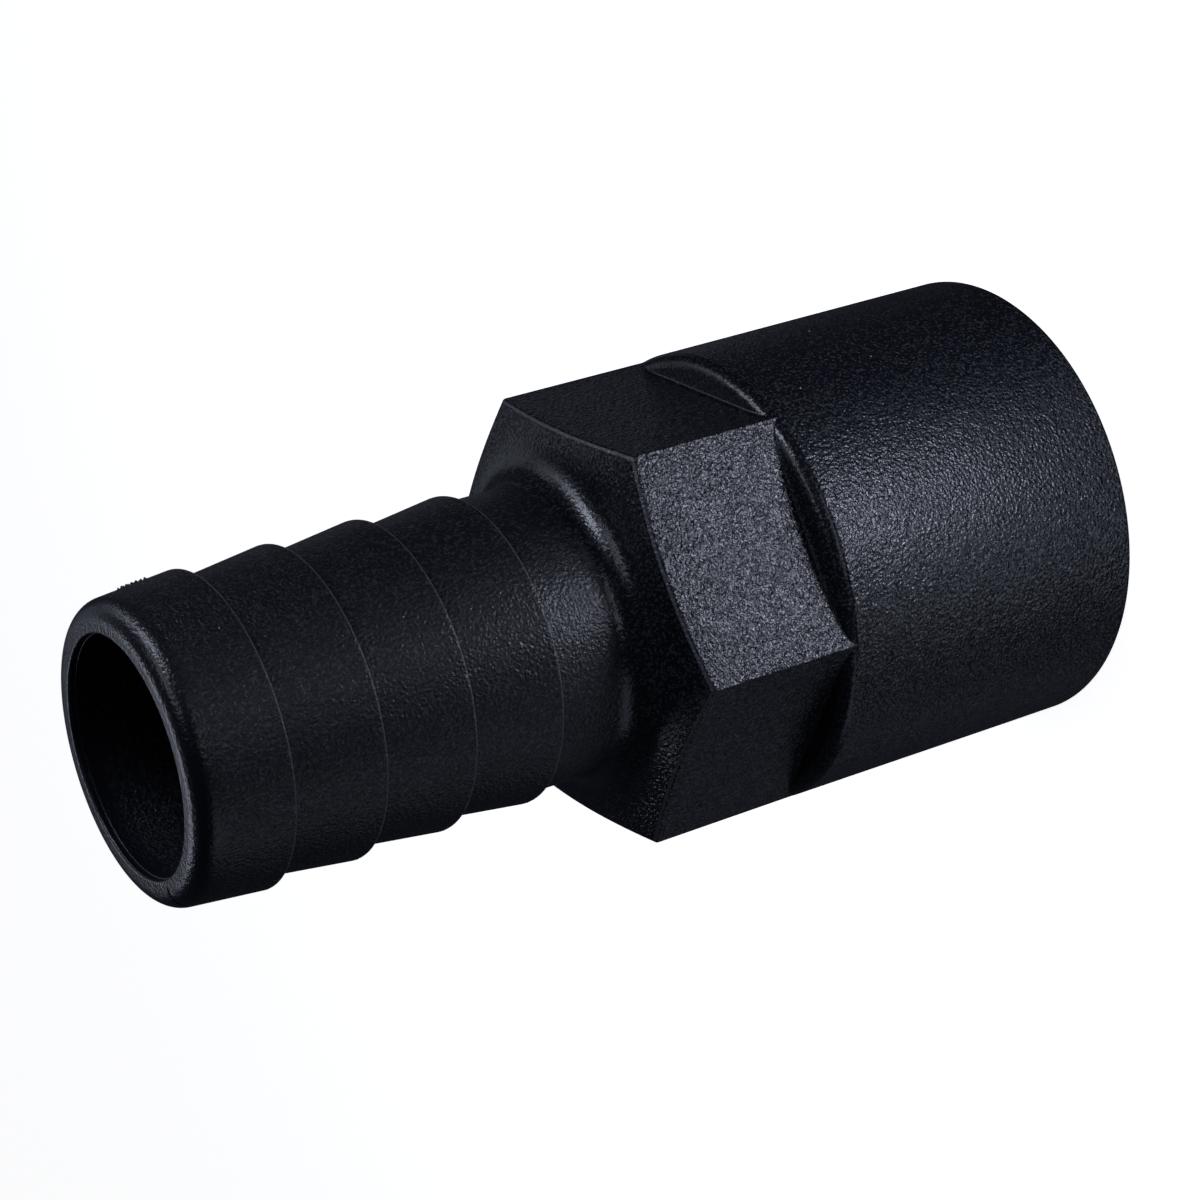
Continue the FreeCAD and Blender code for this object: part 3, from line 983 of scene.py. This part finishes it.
def add_camera(stage):
    """Camera at the picture's viewing angle: it looks at the target and is rolled about its line
    of sight."""
    camera = bpy.data.cameras.new("camera")
    camera.lens = stage.camera_lens
    camera.sensor_width = SENSOR_WIDTH
    camera.clip_start = 10 * MM
    holder = bpy.data.objects.new("camera", camera)
    bpy.context.scene.collection.objects.link(holder)
    back = direction(stage.camera_azimuth, stage.camera_elevation)
    level_right = Vector((0, 0, 1)).cross(back).normalized()
    level_up = back.cross(level_right)
    up = level_up * math.cos(stage.camera_roll) + level_right * math.sin(stage.camera_roll)
    target = Vector(stage.camera_target)
    holder.matrix_world = aim(target + back * stage.camera_distance, back, up)
    bpy.context.scene.camera = holder


def add_surround(stage):
    """World: pale where the camera sees past the floor, and a dim light from all round."""
    world = bpy.data.worlds.new("surround")
    bpy.context.scene.world = world
    world.use_nodes = True
    tree = world.node_tree
    tree.nodes.clear()
    dim = add_node(tree, "ShaderNodeBackground", {"Color": (*stage.surround, 1.0)})
    pale = add_node(tree, "ShaderNodeBackground", {"Color": (1.0, 1.0, 1.0, 1.0)})
    seen = add_node(tree, "ShaderNodeLightPath").outputs["Is Camera Ray"]
    both = add_node(tree, "ShaderNodeMixShader", {0: seen, 1: dim.outputs[0], 2: pale.outputs[0]})
    add_node(tree, "ShaderNodeOutputWorld", {"Surface": both.outputs[0]})


class ADAPTER_OT_stage(bpy.types.Operator):
    """Add the floor, the light and the camera."""

    bl_idname = "adapter.stage"
    bl_label = "Stage"

    def execute(self, context):
        stage = settings().stage
        add_floor(stage)
        add_surround(stage)
        for box in SOFTBOXES:
            add_softbox(box, stage.lamp_colour)
        add_camera(stage)
        context.scene.view_settings.view_transform = "Standard"
        return {"FINISHED"}


# Settings and panel


class AdapterSettings(bpy.types.PropertyGroup):
    """All the settings of the adapter."""

    moulding: PointerProperty(type=MouldingSizes)
    marks: PointerProperty(type=MarkSizes)
    thread: PointerProperty(type=ThreadSizes)
    look: PointerProperty(type=PlasticLook)
    stage: PointerProperty(type=StageSettings)


class ADAPTER_PT_panel(bpy.types.Panel):
    """Sidebar panel that lists the pieces and their settings."""

    bl_idname = "ADAPTER_PT_panel"
    bl_label = "Hose barb adapter"
    bl_space_type = "VIEW_3D"
    bl_region_type = "UI"
    bl_category = "Adapter"

    def draw(self, context):
        for operator in OPERATORS:
            self.layout.operator(operator.bl_idname)
        groups = settings()
        for key in ("moulding", "marks", "thread", "look", "stage"):
            box = self.layout.box()
            group = getattr(groups, key)
            for name in group.__annotations__:
                box.prop(group, name)


GROUPS = (MouldingSizes, MarkSizes, ThreadSizes, PlasticLook, StageSettings, AdapterSettings)
OPERATORS = (ADAPTER_OT_moulding, ADAPTER_OT_thread, ADAPTER_OT_flash, ADAPTER_OT_stage)


def register():
    """Make the groups, operators and panel known, and give the scene its settings."""
    for item in (*GROUPS, *OPERATORS, ADAPTER_PT_panel):
        bpy.utils.register_class(item)
    bpy.types.Scene.adapter = PointerProperty(type=AdapterSettings)


def unregister():
    """Undo what register did."""
    del bpy.types.Scene.adapter
    for item in reversed((*GROUPS, *OPERATORS, ADAPTER_PT_panel)):
        bpy.utils.unregister_class(item)


def main():
    """Make every piece and the stage, in order."""
    register()
    bpy.ops.adapter.moulding()
    bpy.ops.adapter.thread()
    bpy.ops.adapter.flash()
    bpy.ops.adapter.stage()


if __name__ == "__main__":
    main()
